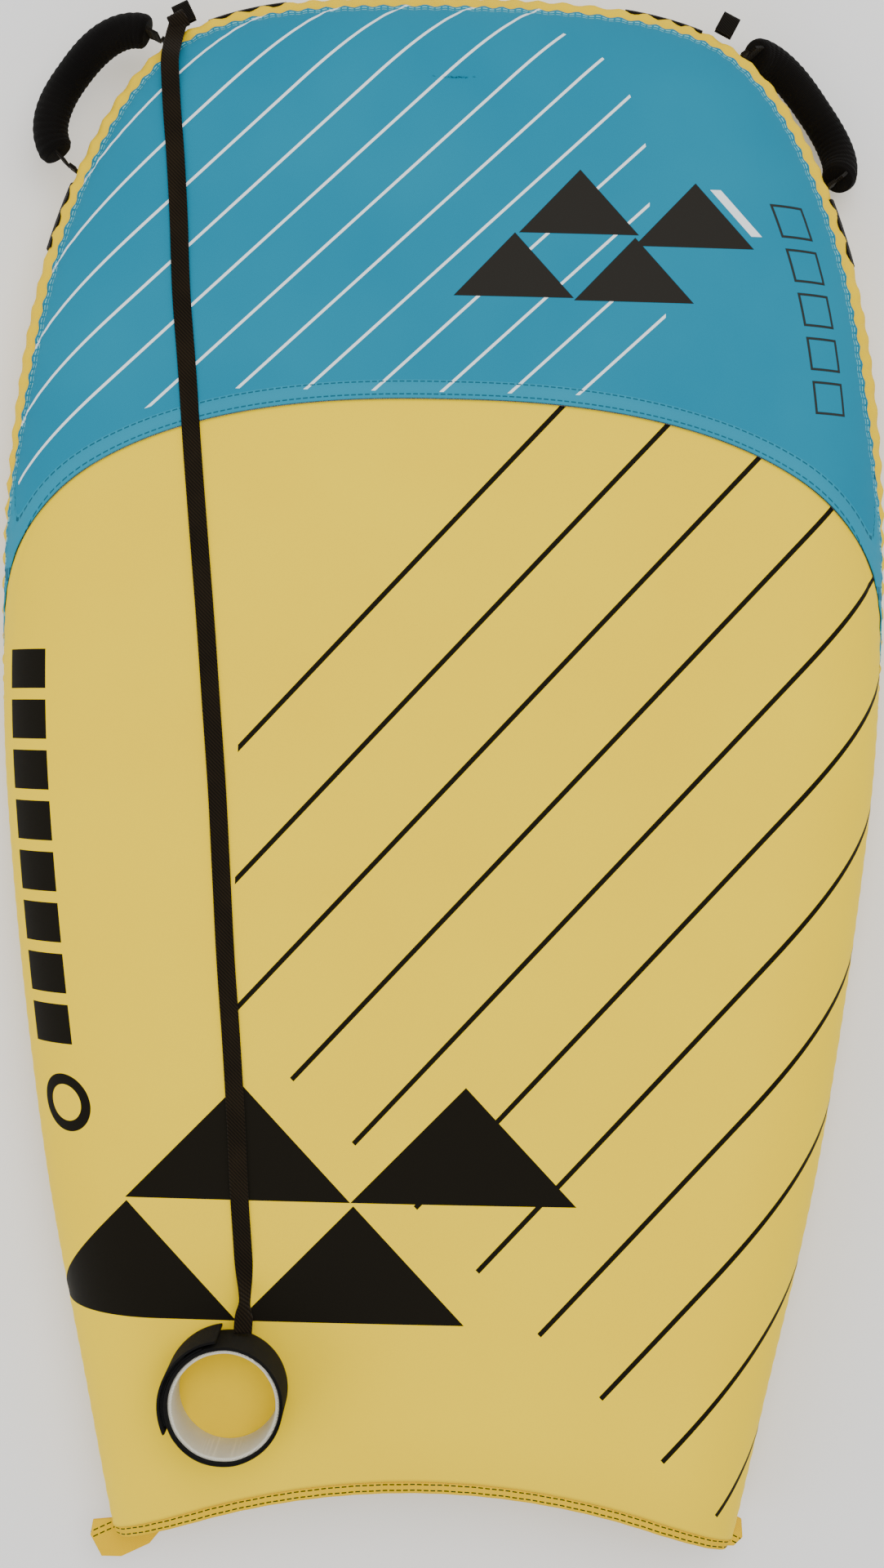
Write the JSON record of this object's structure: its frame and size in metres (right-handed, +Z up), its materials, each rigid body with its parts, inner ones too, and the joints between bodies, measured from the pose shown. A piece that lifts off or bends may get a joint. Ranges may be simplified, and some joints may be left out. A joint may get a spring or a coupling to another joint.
{
  "type": "inflatable bodyboard",
  "caption": "Inflatable bodyboard with a sewn fabric cover over an air bladder, two padded grips, a hollow tail with a zip and a valve, and a flat wrist leash with a cuff.",
  "frame": {"origin": "on the ground under the middle of the board", "axes": "+Z up off the ground, +Y towards the nose, +X to the right seen from above"},
  "size_m": [0.5944, 1.0592, 0.16],
  "materials": {
    "deck_fabric": "matte",
    "nose_fabric": "matte",
    "side_fabric": "matte",
    "bottom_fabric": "matte",
    "binding": "matte",
    "film": "satin",
    "valve_plastic": "satin",
    "seal_rubber": "matte",
    "membrane": "satin",
    "zip_tape": "matte",
    "zip_teeth": "satin",
    "zip_metal": "satin",
    "webbing": "matte",
    "foam": "matte",
    "leash": "matte",
    "cuff_fabric": "matte",
    "cuff_lining": "matte",
    "hook_loop": "matte"
  },
  "bodies": {
    "board": {"deck_panel": "deck_fabric", "nose_panel": "nose_fabric", "side_panel": "side_fabric", "bottom_panel": "bottom_fabric", "tail_panel": "side_fabric", "tail_binding_upper": "binding", "tail_binding_lower": "binding", "tail_ear_left": "binding", "tail_ear_right": "binding", "valve_port_ring": "webbing", "bladder_top_film": "film", "bladder_bottom_film": "film", "bladder_tail_film": "film", "bladder_webs": "film", "valve_base": "valve_plastic", "valve_seal": "seal_rubber", "valve_tether": "seal_rubber", "zip_tape_upper": "zip_tape", "zip_tape_lower": "zip_tape", "zip_teeth_upper": "zip_teeth", "zip_teeth_lower": "zip_teeth", "zip_end_stops": "zip_metal", "left_anchor_webbing": "webbing", "left_leash_tab": "webbing", "right_anchor_webbing": "webbing", "right_leash_tab": "webbing", "leash_strap": "leash", "leash_knot": "leash", "cuff_band": "cuff_fabric", "cuff_lining": "cuff_lining", "cuff_loop_patch": "hook_loop"},
    "left_grip": {"left_grip_webbing": "webbing", "left_grip_pad": "foam", "left_grip_sleeve": "webbing"},
    "right_grip": {"right_grip_webbing": "webbing", "right_grip_pad": "foam", "right_grip_sleeve": "webbing"},
    "zip_slider": {"zip_slider": "zip_metal"},
    "zip_puller": {"zip_puller": "zip_metal"},
    "valve_insert": {"valve_insert": "valve_plastic"},
    "valve_membrane": {"valve_membrane": "membrane"},
    "valve_cap": {"valve_cap": "valve_plastic"},
    "cuff_flap": {"cuff_flap": "cuff_fabric", "cuff_hook_patch": "hook_loop"}
  },
  "joints": [
    {"name": "left_grip_swing", "type": "hinge", "parent": "board", "child": "left_grip", "pos_m": [-0.19324, 0.4977, 0.05878], "axis": [0.5743, 0.8186, 0], "range_deg": [-45, 30]},
    {"name": "right_grip_swing", "type": "hinge", "parent": "board", "child": "right_grip", "pos_m": [0.19324, 0.4977, 0.05878], "axis": [0.5743, -0.8186, 0], "range_deg": [-5, 95]},
    {"name": "zip_run", "type": "hinge", "parent": "board", "child": "zip_slider", "pos_m": [0, -0.963, 0.052], "axis": [0, 0, -1], "range_deg": [0, 24.3]},
    {"name": "zip_puller_swing", "type": "hinge", "parent": "zip_slider", "child": "zip_puller", "pos_m": [-0.156, -0.48712, 0.052], "axis": [0, 0, -1], "range_deg": [0, 165]},
    {"name": "valve_insert_turn", "type": "hinge", "parent": "board", "child": "valve_insert", "pos_m": [0.12644, -0.47408, 0.052], "axis": [-0.2504, -0.9681, 0], "range_deg": [0, 90]},
    {"name": "valve_membrane_lift", "type": "slide", "parent": "valve_insert", "child": "valve_membrane", "axis": [0.2504, 0.9681, 0], "range_m": [0, 0.0015]},
    {"name": "valve_cap_swing", "type": "hinge", "parent": "board", "child": "valve_cap", "pos_m": [0.10823, -0.47661, 0.052], "axis": [0, 0, -1], "range_deg": [0, 110]},
    {"name": "cuff_flap_swing", "type": "hinge", "parent": "board", "child": "cuff_flap", "pos_m": [-0.13376, -0.354, 0.135], "axis": [0, 0, -1], "range_deg": [0, 75]}
  ]
}
